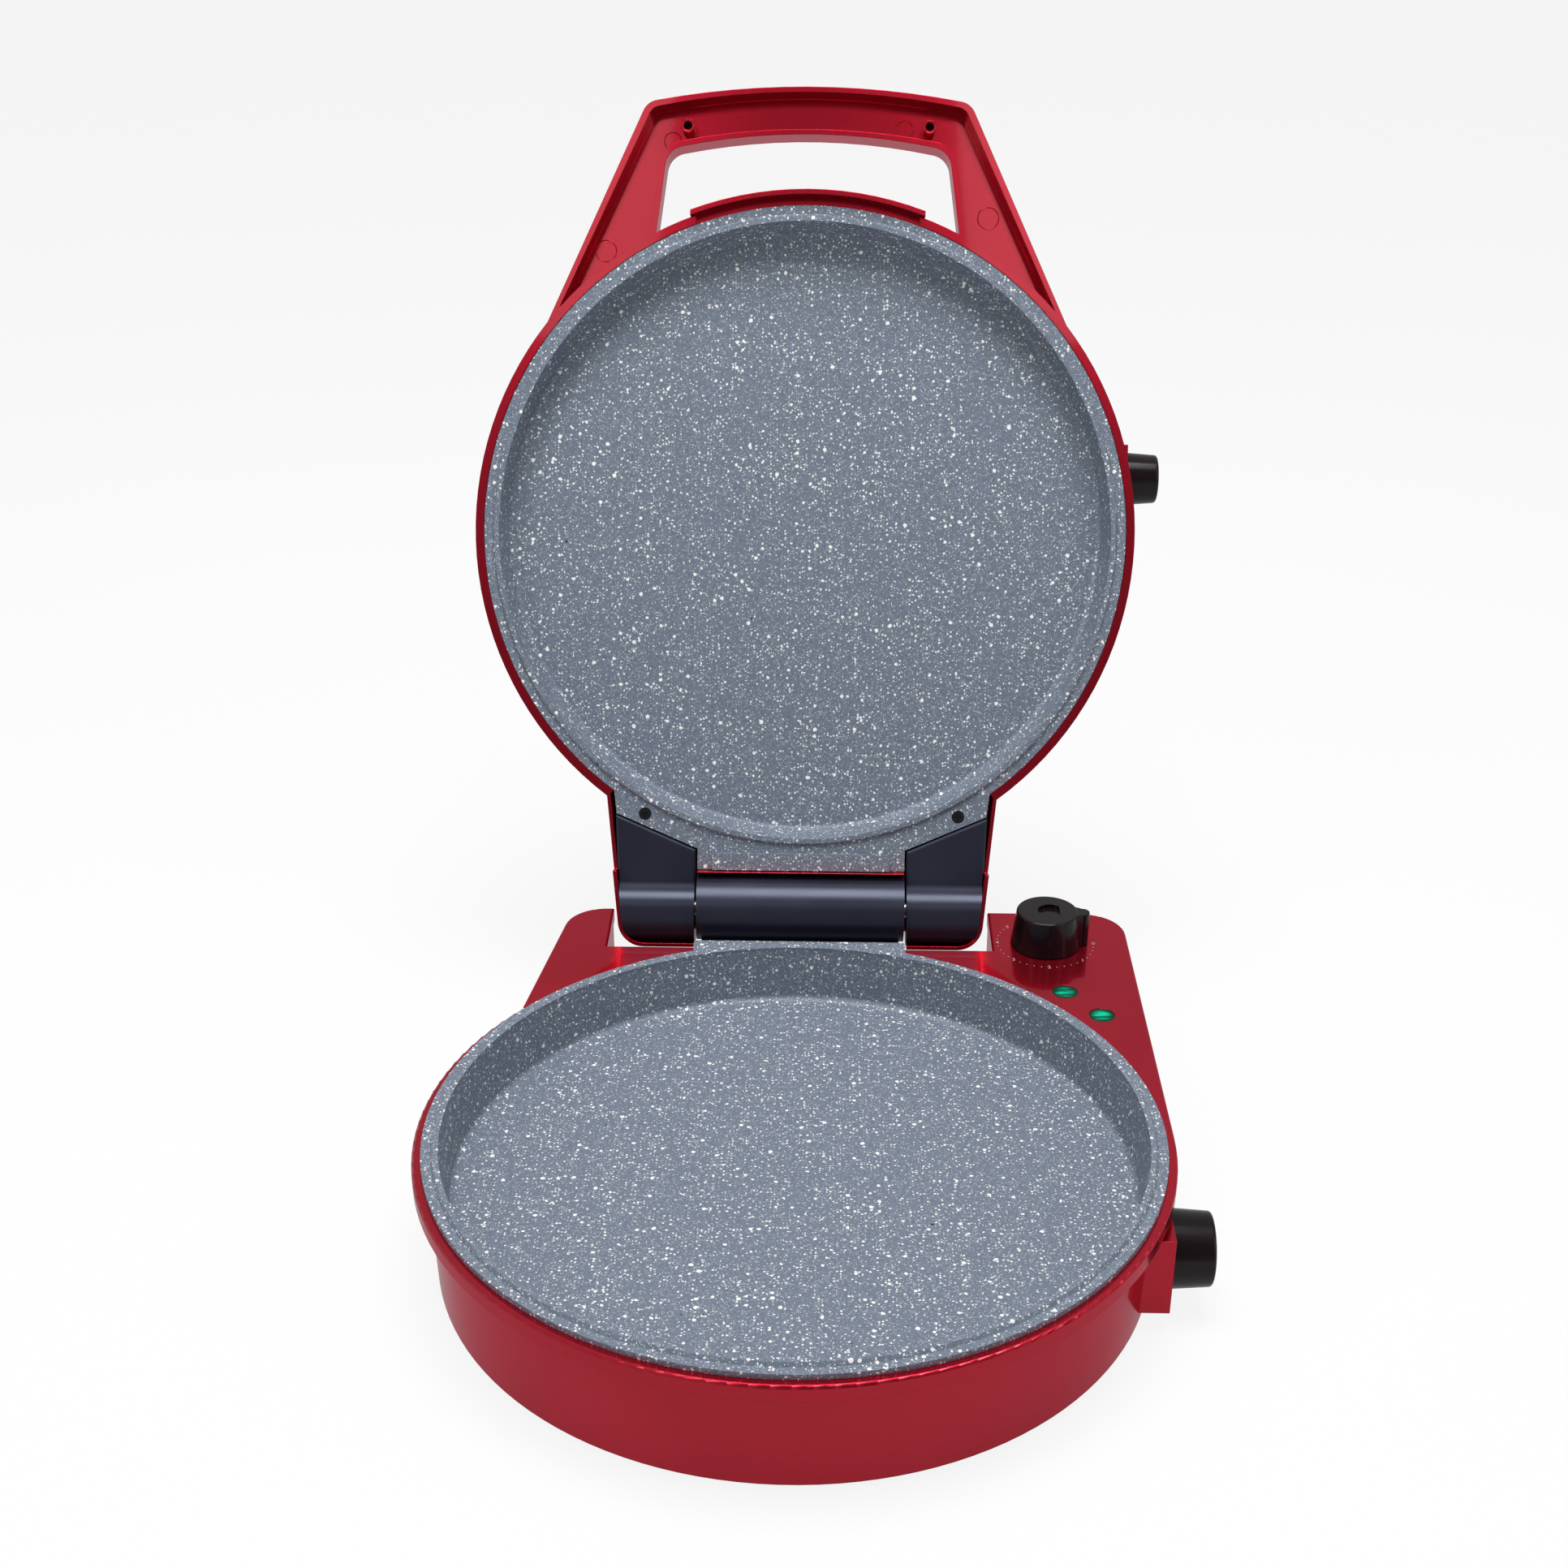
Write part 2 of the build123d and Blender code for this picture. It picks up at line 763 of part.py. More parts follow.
# Lower pan, a deep cast dish with a tongue that runs back under the hinge drum
with BuildPart() as lower_pan:
    with BuildSketch(Plane.XZ):
        add(dish(pan_mouth_radius, pan_floor_radius, pan_depth, flange_radius, parting_z, 1))
    revolve(axis=Axis.Z)
    with BuildSketch(Plane.XY.offset(rim_top)):
        with Locations((0, tongue_end / 2)):
            Rectangle(2 * tongue_half_width, tongue_end)
        Circle(pan_mouth_radius + ridge_width, mode=Mode.SUBTRACT)
    extrude(amount=flange_thickness)
    add(studs(pan_under, 1))

with BuildPart() as lower_element:
    add(heater(pan_under - element_radius - face_gap))

with BuildPart() as lower_reflector:
    add(reflector(reflector_z, 1))

with BuildPart(Plane.XY.offset(reflector_z - reflector_sheet)) as lower_reflector_screws:
    with PolarLocations(stud_ring, stud_count):
        add(screw(stud_length - screw_spare, screw_head_radius))

with BuildPart() as lower_thermostat:
    add(sensor(pan_under, 1))

with BuildPart() as lower_thermal_fuse:
    add(fuse(pan_under, 1))

# Indicator lenses, their lamps, and the holder that hangs the lamps under the deck
with BuildPart() as power_lens:
    add(lens(lens_places[0]))

with BuildPart() as ready_lens:
    add(lens(lens_places[1]))

with BuildPart() as indicator_lamps:
    with BuildSketch(Plane.XY.offset(lamp_top)):
        with Locations(*lens_places):
            Circle(lamp_radius)
    extrude(amount=-lamp_length)
    fillet(indicator_lamps.edges().group_by(Axis.Z)[-1], radius=lamp_radius * 0.8)

with BuildPart() as lamp_holder:
    (first_x, first_y), (second_x, second_y) = lens_places
    with BuildSketch(Plane.XY.offset(lamp_top - lamp_length)):
        with Locations(((first_x + second_x) / 2, (first_y + second_y) / 2)):
            SlotCenterToCenter(
                sqrt((second_x - first_x) ** 2 + (second_y - first_y) ** 2),
                2 * (lens_stem_radius + wall),
                rotation=degrees(atan2(second_y - first_y, second_x - first_x)),
            )
        with Locations(*lens_places):
            Circle(lamp_radius + slip, mode=Mode.SUBTRACT)
    extrude(amount=cavity_top - lamp_top + lamp_length)
    with BuildSketch(Plane.XY.offset(lamp_top - lamp_length / 2)):
        with Locations(*lens_places):
            Circle(lens_stem_radius + face_gap)
    extrude(amount=lamp_length + lens_stem, mode=Mode.SUBTRACT)

# Rotary heat control under the deck, with its shaft and knob
with BuildPart() as heat_control:
    with BuildSketch(Plane.XY.offset(cavity_top)):
        with Locations((knob_x, knob_y)):
            RectangleRounded(control_size, control_size * 0.8, 2 * wall)
    extrude(amount=-control_depth)
    with BuildSketch(Plane.XY.offset(cavity_top)):
        with Locations((knob_x, knob_y)):
            Circle(shaft_radius + slip)
    extrude(amount=-control_depth / 2, mode=Mode.SUBTRACT)
    with BuildSketch(Plane.XY.offset(cavity_top - control_depth)):
        with Locations((knob_x - control_size / 4, knob_y), (knob_x + control_size / 4, knob_y)):
            Rectangle(reflector_sheet, sensor_radius)
    extrude(amount=-tab_length)

with BuildPart() as control_shaft:
    with BuildSketch(Plane.XY.offset(cavity_top - control_depth / 2 + face_gap)):
        with Locations((knob_x, knob_y)):
            Circle(shaft_radius)
    extrude(amount=control_depth / 2 + wall + knob_lift + knob_height * bore_share - 2 * face_gap)

with BuildPart() as knob_nub:
    with BuildSketch(Plane.XY.offset(knob_low)):
        with BuildLine():
            Polyline(
                (knob_x, knob_y - nub_root),
                (knob_x + knob_top_radius - nub_radius, knob_y - nub_root),
                (knob_x + knob_reach - nub_radius, knob_y - nub_radius),
                (knob_x + knob_reach - nub_radius, knob_y + nub_radius),
                (knob_x + knob_top_radius - nub_radius, knob_y + nub_root),
                (knob_x, knob_y + nub_root),
                close=True,
            )
        make_face()
        with Locations((knob_x + knob_reach - nub_radius, knob_y)):
            Circle(nub_radius)
    extrude(amount=knob_height - nub_drop)
    fillet(knob_nub.edges().group_by(Axis.Z)[-1], radius=knob_round / 2)

with BuildPart() as control_knob:
    with BuildSketch(Plane.XY.offset(knob_low)):
        with Locations((knob_x, knob_y)):
            Circle(knob_base_radius)
    with BuildSketch(Plane.XY.offset(knob_low + knob_height)):
        with Locations((knob_x, knob_y)):
            Circle(knob_top_radius)
    loft()
    fillet(control_knob.edges().group_by(Axis.Z)[-1], radius=knob_round)
    add(knob_nub.part)
    with BuildSketch(Plane.XY.offset(knob_low + knob_height)):
        with Locations((knob_x + thumb_shift, knob_y)):
            Circle(thumb_radius)
        with Locations((knob_x + thumb_shift + thumb_radius * 1.5, knob_y)):
            Rectangle(thumb_radius * 1.5, 3 * thumb_radius, mode=Mode.SUBTRACT)
    extrude(amount=-thumb_depth, mode=Mode.SUBTRACT)
    with BuildSketch(Plane.XY.offset(knob_low)):
        with Locations((knob_x, knob_y)):
            Circle(shaft_radius + slip)
    extrude(amount=knob_height * bore_share, mode=Mode.SUBTRACT)

# Mains side, with the cord gland in the back wall and the terminal block on the bottom cover
with BuildPart() as cord_gland:
    with BuildSketch(Plane.XZ.offset(-gland_face - face_gap - slip)):
        with Locations((gland_x, gland_z)):
            Circle(gland_radius + wall)
    extrude(amount=-gland_lip)
    with BuildSketch(Plane.XZ.offset(-gland_face - gland_lip)):
        with Locations((gland_x, gland_z)):
            Circle(gland_radius - slip)
    extrude(amount=gland_length)
    with BuildSketch(Plane.XZ.offset(-gland_face - 2 * gland_lip)):
        with Locations((gland_x, gland_z)):
            Circle(gland_radius * bore_share)
    extrude(amount=2 * gland_length, mode=Mode.SUBTRACT)

with BuildPart() as terminal_block:
    with BuildSketch(Plane.XY.offset(cover_top)):
        with Locations((gland_x, terminal_y)):
            Rectangle(terminal_width, terminal_width / 2)
    extrude(amount=terminal_width / 3)
    with BuildSketch(Plane.XY.offset(cover_top + terminal_width / 3)):
        with Locations((gland_x, terminal_y)):
            with GridLocations(terminal_width / 3, terminal_width / 4, 3, 2):
                Circle(screw_radius)
    extrude(amount=-terminal_width / 6, mode=Mode.SUBTRACT)

# Hinge drum, a bracket on the front wall of the notch with a cover that clips over it
with BuildPart() as hinge_bracket:
    with BuildSketch(side):
        with BuildLine():
            Polyline(
                (notch_front + slip, drum_seam_z - bracket_drop),
                (notch_front + bracket_foot, drum_seam_z - bracket_drop),
                (hinge_y + drum_radius / 3, hinge_z - drum_radius),
                (hinge_y + drum_radius / 3, drum_seam_z),
                (notch_front + slip, drum_seam_z),
                close=True,
            )
        make_face()
        with Locations((hinge_y, hinge_z)):
            Circle(drum_radius)
        with Locations((hinge_y, drum_seam_z + drum_radius)):
            Rectangle(3 * drum_radius, 2 * drum_radius, mode=Mode.SUBTRACT)
    extrude(amount=drum_half_length - drum_wall, both=True)
    with BuildSketch(side):
        with Locations((hinge_y, hinge_z)):
            Circle(drum_radius - drum_wall)
    extrude(amount=drum_half_length - 2 * drum_wall, both=True, mode=Mode.SUBTRACT)

with BuildPart() as hinge_cover:
    with BuildSketch(side):
        with Locations((hinge_y, hinge_z)):
            Circle(drum_radius)
        with Locations((hinge_y, drum_seam_z - drum_radius)):
            Rectangle(3 * drum_radius, 2 * drum_radius, mode=Mode.SUBTRACT)
    extrude(amount=drum_half_length, both=True)
    with BuildSketch(side):
        with Locations((hinge_y, hinge_z)):
            Circle(drum_radius - drum_wall)
    extrude(amount=drum_half_length - drum_wall, both=True, mode=Mode.SUBTRACT)
    with BuildSketch(side):
        with Locations((hinge_y, hinge_z)):
            Circle(pin_radius + slip)
    extrude(amount=drum_half_length, both=True, mode=Mode.SUBTRACT)

with BuildPart() as hinge_pins:
    for way in (-1, 1):
        with BuildSketch(side.offset(way * pin_start)):
            with Locations((hinge_y, hinge_z)):
                Circle(pin_radius)
        extrude(amount=way * (pin_end - pin_start))
        with BuildSketch(side.offset(way * pin_start)):
            with Locations((hinge_y, hinge_z)):
                Circle(pin_radius * 1.5)
        extrude(amount=way * drum_wall)

with BuildPart() as base_side_foot:
    add(side_foot(base_pad_face, base_foot_y, base_foot_z, base_foot_radius))

# Lid shell, a hollow dome with the rear hinge block, the handle loop and the hood over the front rim
with BuildPart() as lid_cavity:
    add(lid_mass(lid_skin))
    with BuildSketch(Plane.XY.offset(hinge_z + barrel_radius + ceiling_step)):
        with Locations((0, cutout_front - wall + lid_rim_radius)):
            Rectangle(2 * (cutout_half + wall), 2 * lid_rim_radius)
    extrude(amount=drum_radius + drum_gap + wall - barrel_radius - ceiling_step, mode=Mode.SUBTRACT)
    with BuildSketch(Plane.XY.offset(hinge_z - lid_height)):
        with Locations((0, cutout_front - wall + lid_rim_radius)):
            Rectangle(2 * (tongue_half_width - face_gap), 2 * lid_rim_radius)
    extrude(amount=lid_height + drum_radius + drum_gap + wall, mode=Mode.SUBTRACT)

with BuildPart() as lid_shell:
    add(lid_mass(0))
    with BuildSketch(Plane.XY.offset(lid_z)):
        Circle(lid_rim_radius)
    extrude(amount=lid_rim_height)
    with BuildSketch(Plane.XY.offset(lid_z)):
        add(handle_outline(0))
        add(finger_opening(0), mode=Mode.SUBTRACT)
    extrude(amount=handle_height)
    with BuildSketch(side.offset(lid_pad_face)):
        with Locations((lid_foot_y, lid_foot_z)):
            Rectangle(2 * (lid_foot_radius + pad_margin), 2 * lid_foot_radius)
    extrude(amount=-pad_depth)
    with BuildSketch(Plane.XY.offset(lid_z - hood_drop)):
        Circle(lid_rim_radius + face_gap + hood_thickness)
        Circle(lid_rim_radius + face_gap, mode=Mode.SUBTRACT)
        with Locations((0, -lid_rim_radius)):
            Rectangle(
                2 * lid_rim_radius * sin(radians(hood_half_angle)),
                lid_rim_radius,
                mode=Mode.INTERSECT,
            )
    extrude(amount=hood_drop + lid_rim_height)
    with BuildSketch(Plane.XY.offset(lid_z + lid_rim_height - hood_thickness)):
        Circle(lid_rim_radius + face_gap + hood_thickness)
        with Locations((0, -lid_rim_radius)):
            Rectangle(
                2 * lid_rim_radius * sin(radians(hood_half_angle)),
                lid_rim_radius,
                mode=Mode.INTERSECT,
            )
    extrude(amount=hood_thickness)
    with BuildSketch(Plane.XY.offset(lid_z - hood_drop)):
        Circle(lid_rim_radius + face_gap)
        Circle(upper_flange_radius, mode=Mode.SUBTRACT)
        with Locations((0, -lid_rim_radius)):
            Rectangle(
                2 * lid_rim_radius * sin(radians(hood_half_angle)) - 2 * hood_thickness,
                lid_rim_radius,
                mode=Mode.INTERSECT,
            )
    extrude(amount=hood_drop + lid_rim_height - hood_thickness, mode=Mode.SUBTRACT)
    add(lid_cavity.part, mode=Mode.SUBTRACT)
    with BuildSketch(Plane.XY.offset(lid_z)):
        add(handle_outline(handle_wall))
        add(finger_opening(handle_wall), mode=Mode.SUBTRACT)
        Circle(lid_rim_radius, mode=Mode.SUBTRACT)
    extrude(amount=handle_height - wall, mode=Mode.SUBTRACT)
    with BuildSketch(Plane.XY.offset(lid_z)):
        add(upper_plan(face_gap))
    extrude(amount=flange_thickness, mode=Mode.SUBTRACT)
    with BuildSketch(Plane.XY.offset(hinge_z - lid_height)):
        with Locations((0, cutout_front + lid_rim_radius)):
            Rectangle(2 * cutout_half, 2 * lid_rim_radius)
    extrude(amount=lid_height + drum_radius + drum_gap, mode=Mode.SUBTRACT)
    with BuildSketch(Plane.XY.offset(lid_z + boss_sink)):
        with Locations(*handle_boss_places):
            Circle(boss_radius)
    extrude(amount=handle_height - wall - boss_sink)
    with BuildSketch(Plane.XY.offset(lid_z)):
        with Locations(*handle_boss_places):
            Circle(boss_bore)
    extrude(amount=handle_height - wall, mode=Mode.SUBTRACT)
    with BuildSketch(Plane.XY.offset(lid_z)):
        with Locations(*handle_boss_places):
            Circle(screw_radius + slip)
    extrude(amount=handle_height, mode=Mode.SUBTRACT)
    with BuildSketch(Plane.XY.offset(plate_back)):
        with Locations(*plate_screw_places):
            Circle(post_radius)
            Circle(screw_radius, mode=Mode.SUBTRACT)
    extrude(amount=block_height - flange_thickness - lid_skin)

with BuildPart() as handle_cap:
    with BuildSketch(Plane.XY.offset(lid_z + handle_height)):
        add(handle_outline(handle_wall / 2))
        add(finger_opening(handle_wall / 2), mode=Mode.SUBTRACT)
        with Locations((0, -cap_front + lid_rim_radius)):
            Rectangle(2 * lid_rim_radius, 2 * lid_rim_radius, mode=Mode.SUBTRACT)
    extrude(amount=cap_thickness)
    fillet(handle_cap.edges().group_by(Axis.Z)[-1], radius=rim_round)
    with BuildSketch(Plane.XY.offset(lid_z + handle_height)):
        with Locations(*handle_boss_places):
            Circle(screw_radius)
    extrude(amount=cap_thickness - screw_spare, mode=Mode.SUBTRACT)

with BuildPart(Plane.XY.offset(lid_z + handle_height - wall)) as handle_screws:
    with Locations(*handle_boss_places):
        add(screw(wall + cap_thickness - 2 * screw_spare, small_head_radius))

# Upper plate, a shallower dish whose rear corners reach the hinge arms
with BuildPart() as upper_plate:
    with BuildSketch(Plane.XZ):
        add(dish(upper_mouth_radius, upper_floor_radius, upper_depth, upper_flange_radius, lid_z, -1))
    revolve(axis=Axis.Z)
    with BuildSketch(Plane.XY.offset(lid_z)):
        add(upper_plan(0))
        Circle(upper_mouth_radius + ridge_width, mode=Mode.SUBTRACT)
    extrude(amount=flange_thickness)
    with BuildSketch(Plane.XY.offset(lid_z)):
        with Locations((0, (tab_pad_front + upper_tongue_end) / 2)):
            Rectangle(2 * tab_pad_half, upper_tongue_end - tab_pad_front)
    extrude(amount=-tab_pad_height)
    with BuildSketch(Plane.XY.offset(lid_z)):
        with Locations(*plate_screw_places):
            Circle(screw_head_radius + face_gap)
    extrude(amount=screw_head, mode=Mode.SUBTRACT)
    with BuildSketch(Plane.XY.offset(lid_z)):
        with Locations(*plate_screw_places):
            Circle(screw_radius + 2 * slip)
    extrude(amount=flange_thickness, mode=Mode.SUBTRACT)
    add(studs(upper_back, -1))

with BuildPart(Plane.XY.offset(lid_z + screw_head)) as plate_screws:
    with Locations(*plate_screw_places):
        add(screw(screw_length, screw_head_radius))

with BuildPart() as upper_element:
    add(heater(upper_back + element_radius + face_gap))

with BuildPart() as upper_reflector:
    add(reflector(upper_reflector_z, -1))

with BuildPart(Plane.XY.offset(upper_reflector_z + reflector_sheet)) as upper_reflector_screws:
    with PolarLocations(stud_ring, stud_count):
        add(screw(stud_length - screw_spare, screw_head_radius, -1))

with BuildPart() as upper_thermostat:
    add(sensor(upper_back, -1))

with BuildPart() as upper_thermal_fuse:
    add(fuse(upper_back, -1))

with BuildPart() as hinge_arm_left:
    add(hinge_arm(-1))

with BuildPart() as hinge_arm_right:
    add(hinge_arm(1))

with BuildPart() as lid_side_foot:
    add(side_foot(lid_pad_face, lid_foot_y, lid_foot_z, lid_foot_radius))

base_pieces = {
    "base_housing": base_housing,
    "bottom_cover": bottom_cover,
    "bottom_screws": bottom_screws,
    "rubber_feet": rubber_feet,
    "lower_pan": lower_pan,
    "lower_element": lower_element,
    "lower_reflector": lower_reflector,
    "lower_reflector_screws": lower_reflector_screws,
    "lower_thermostat": lower_thermostat,
    "lower_thermal_fuse": lower_thermal_fuse,
    "power_lens": power_lens,
    "ready_lens": ready_lens,
    "indicator_lamps": indicator_lamps,
    "lamp_holder": lamp_holder,
    "heat_control": heat_control,
    "control_shaft": control_shaft,
    "control_knob": control_knob,
    "cord_gland": cord_gland,
    "terminal_block": terminal_block,
    "hinge_bracket": hinge_bracket,
    "hinge_cover": hinge_cover,
    "hinge_pins": hinge_pins,
    "base_side_foot": base_side_foot,
}
lid_pieces = {
    "lid_shell": lid_shell,
    "handle_cap": handle_cap,
    "handle_screws": handle_screws,
    "upper_plate": upper_plate,
    "plate_screws": plate_screws,
    "upper_element": upper_element,
    "upper_reflector": upper_reflector,
    "upper_reflector_screws": upper_reflector_screws,
    "upper_thermostat": upper_thermostat,
    "upper_thermal_fuse": upper_thermal_fuse,
    "hinge_arm_left": hinge_arm_left,
    "hinge_arm_right": hinge_arm_right,
    "lid_side_foot": lid_side_foot,
}

# The origin is the middle of the pan's floor
to_frame = Location((0, 0, pan_depth - parting_z))
os.makedirs("parts", exist_ok=True)
for name, piece in base_pieces.items():
    placed = piece.part.moved(to_frame)
    placed.label = name
    export_step(placed, f"parts/{name}.step")
for name, piece in lid_pieces.items():
    placed = piece.part.rotate(hinge_axis, -open_angle).moved(to_frame)
    placed.label = name
    export_step(placed, f"parts/{name}.step")
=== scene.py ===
"""Looks of the electric pizza maker: materials, dial marks, fine rings, lights and camera."""
import json
import math

import bmesh
import bpy
from mathutils import Matrix, Vector


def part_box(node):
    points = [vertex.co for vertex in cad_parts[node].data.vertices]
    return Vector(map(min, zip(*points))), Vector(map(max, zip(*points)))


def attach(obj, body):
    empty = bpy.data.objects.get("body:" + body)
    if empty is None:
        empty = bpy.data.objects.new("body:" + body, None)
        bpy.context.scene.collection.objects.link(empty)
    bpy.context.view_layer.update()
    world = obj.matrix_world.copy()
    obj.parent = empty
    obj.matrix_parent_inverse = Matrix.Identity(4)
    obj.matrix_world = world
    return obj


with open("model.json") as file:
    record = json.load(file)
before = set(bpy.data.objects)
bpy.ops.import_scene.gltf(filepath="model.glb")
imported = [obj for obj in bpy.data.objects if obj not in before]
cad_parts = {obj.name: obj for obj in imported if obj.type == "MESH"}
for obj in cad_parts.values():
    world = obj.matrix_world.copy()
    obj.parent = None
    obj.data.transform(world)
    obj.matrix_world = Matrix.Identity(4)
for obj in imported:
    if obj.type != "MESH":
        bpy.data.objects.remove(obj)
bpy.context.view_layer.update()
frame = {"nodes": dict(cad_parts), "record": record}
nodes = frame["nodes"]
MM = 0.001


# Node helpers.
def material(name):
    """A new material with its node tree and its Principled shader."""
    mat = bpy.data.materials.new(name)
    mat.use_nodes = True
    tree = mat.node_tree
    return mat, tree, tree.nodes["Principled BSDF"]


def add(tree, kind, **values):
    """A new node, with values set on its attributes or, where it has none, on its inputs."""
    node = tree.nodes.new(kind)
    for key, value in values.items():
        if hasattr(node, key):
            setattr(node, key, value)
        else:
            node.inputs[key].default_value = value
    return node


def place(tree, stretch=(1, 1, 1)):
    """The point on the object, in metres of its own frame, stretched along each axis."""
    coords = add(tree, "ShaderNodeTexCoord")
    mapping = add(tree, "ShaderNodeMapping", Scale=stretch)
    tree.links.new(coords.outputs["Object"], mapping.inputs["Vector"])
    return mapping.outputs["Vector"]


def noise(tree, vector, scale, detail=3.0):
    """Grey noise at a scale per metre."""
    node = add(tree, "ShaderNodeTexNoise", Scale=scale, Detail=detail)
    tree.links.new(vector, node.inputs["Vector"])
    return node.outputs["Fac"]


def maths(tree, operation, a, b):
    """A maths node on two values or sockets."""
    node = add(tree, "ShaderNodeMath", operation=operation)
    for socket, value in zip(node.inputs, (a, b)):
        if isinstance(value, (int, float)):
            socket.default_value = value
        else:
            tree.links.new(value, socket)
    return node.outputs[0]


def ramp(tree, value, stops):
    """A colour ramp over a value. stops are (position, colour) or (position, grey)."""
    node = add(tree, "ShaderNodeValToRGB")
    while len(node.color_ramp.elements) < len(stops):
        node.color_ramp.elements.new(0.5)
    for element, (position, colour) in zip(node.color_ramp.elements, stops):
        element.position = position
        element.color = (*((colour,) * 3 if isinstance(colour, (int, float)) else colour), 1)
    tree.links.new(value, node.inputs["Fac"])
    return node.outputs["Color"]


def blend_colour(tree, factor, a, b):
    """A mix of two colours, each a tuple or a socket."""
    node = add(tree, "ShaderNodeMix", data_type="RGBA")
    sockets = [s for s in node.inputs if s.name in ("A", "B") and s.type == "RGBA"]
    for socket, value in zip(sockets, (a, b)):
        if isinstance(value, tuple):
            socket.default_value = (*value, 1)
        else:
            tree.links.new(value, socket)
    tree.links.new(factor, node.inputs["Factor"])
    return [s for s in node.outputs if s.type == "RGBA"][0]


def bump(tree, shader, height, strength, distance, edge=0.0):
    """Gives the shader small relief from a height socket, and soft edges of a radius in metres."""
    node = add(tree, "ShaderNodeBump", Strength=strength, Distance=distance)
    tree.links.new(height, node.inputs["Height"])
    if edge:
        rounding = add(tree, "ShaderNodeBevel", samples=4, Radius=edge)
        tree.links.new(rounding.outputs["Normal"], node.inputs["Normal"])
    tree.links.new(node.outputs["Normal"], shader.inputs["Normal"])


def specks(tree, vector, cell, share, size):
    """Mask of round specks, one at most in each cell of that size in metres, of varied radius."""
    edge_gain = 18.0
    cells = add(tree, "ShaderNodeTexVoronoi", Scale=1 / cell, Randomness=1.0)
    tree.links.new(vector, cells.inputs["Vector"])
    parts = add(tree, "ShaderNodeSeparateColor")
    tree.links.new(cells.outputs["Color"], parts.inputs["Color"])
    chosen = maths(tree, "SUBTRACT", parts.outputs[0], 1 - share)
    radius = maths(tree, "MULTIPLY", chosen, size / share)
    inside = maths(tree, "SUBTRACT", radius, cells.outputs["Distance"])
    node = add(tree, "ShaderNodeClamp")
    tree.links.new(maths(tree, "MULTIPLY", inside, edge_gain), node.inputs["Value"])
    return node.outputs[0]


def wobbled(tree, vector, scale, reach):
    """A vector shifted by noise, so that round specks come out uneven."""
    wobble = add(tree, "ShaderNodeTexNoise", Scale=scale, Detail=2.0)
    tree.links.new(vector, wobble.inputs["Vector"])
    shift = add(tree, "ShaderNodeVectorMath", operation="SCALE", Scale=reach)
    tree.links.new(wobble.outputs["Color"], shift.inputs[0])
    moved = add(tree, "ShaderNodeVectorMath", operation="ADD")
    tree.links.new(vector, moved.inputs[0])
    tree.links.new(shift.outputs[0], moved.inputs[1])
    return moved.outputs[0]


def from_centre(tree, node):
    """Distance from the middle of a node's box, in metres."""
    low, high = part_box(node)
    measure = add(tree, "ShaderNodeVectorMath", operation="DISTANCE")
    tree.links.new(place(tree), measure.inputs[0])
    measure.inputs[1].default_value = [(a + b) / 2 for a, b in zip(low, high)]
    return measure.outputs["Value"]


# Materials.
def stone_coat():
    """Grey non-stick coat with white and black specks."""
    wobble_scale, wobble_reach = 900.0, 0.0011
    cloud_scale, grain_scale = 700.0, 1500.0
    ground_stops = ((0.3, (0.120, 0.150, 0.200)), (0.72, (0.182, 0.218, 0.278)))
    rough_stops = ((0.0, 0.42), (1.0, 0.56))
    # Cell in metres, share of cells with a speck, largest radius in cells, strength, colour.
    layers = (
        (0.0008, 0.85, 0.45, 0.75, (0.66, 0.68, 0.70)),
        (0.0015, 0.70, 0.43, 0.95, (0.86, 0.86, 0.84)),
        (0.0034, 0.50, 0.33, 1.0, (0.92, 0.92, 0.89)),
        (0.0085, 0.16, 0.12, 1.0, (0.01, 0.011, 0.014)),
    )
    mat, tree, shader = material("stone_coat")
    flat = place(tree)
    vector = wobbled(tree, flat, wobble_scale, wobble_reach)
    cloud = noise(tree, flat, cloud_scale, detail=2.0)
    colour = ramp(tree, cloud, ground_stops)
    for cell, share, size, strength, tone in layers:
        mask = maths(tree, "MULTIPLY", specks(tree, vector, cell, share, size), strength)
        colour = blend_colour(tree, mask, colour, tone)
    tree.links.new(colour, shader.inputs["Base Color"])
    tree.links.new(ramp(tree, cloud, rough_stops), shader.inputs["Roughness"])
    grain = noise(tree, flat, grain_scale, detail=2.0)
    bump(tree, shader, grain, strength=0.25, distance=0.12 * MM)
    return mat


def red_plastic():
    """Metallic red lacquer under a clear coat."""
    flake_scale, drift_scale, ripple_scale = 4200.0, 9.0, 60.0
    deep_stops = ((0.3, (0.480, 0.008, 0.026)), (0.7, (0.550, 0.011, 0.033)))
    flake_red = (0.85, 0.04, 0.06)
    sparkle_stops = ((0.5, 0.0), (0.8, 0.5))
    rough_stops = ((0.2, 0.19), (0.8, 0.27))
    mat, tree, shader = material("red_lacquer")
    flat = place(tree)
    flakes = noise(tree, flat, flake_scale, detail=1.0)
    deep = ramp(tree, noise(tree, flat, drift_scale, detail=2.0), deep_stops)
    sparkle = ramp(tree, flakes, sparkle_stops)
    tree.links.new(blend_colour(tree, sparkle, deep, flake_red), shader.inputs["Base Color"])
    shader.inputs["Metallic"].default_value = 0.85
    tree.links.new(ramp(tree, flakes, rough_stops), shader.inputs["Roughness"])
    shader.inputs["Specular Tint"].default_value = (1.0, 0.40, 0.50, 1)
    shader.inputs["Coat Weight"].default_value = 0.4
    shader.inputs["Coat Roughness"].default_value = 0.04
    ripple = noise(tree, flat, ripple_scale, detail=2.0)
    bump(tree, shader, ripple, strength=0.04, distance=0.4 * MM, edge=0.5 * MM)
    return mat


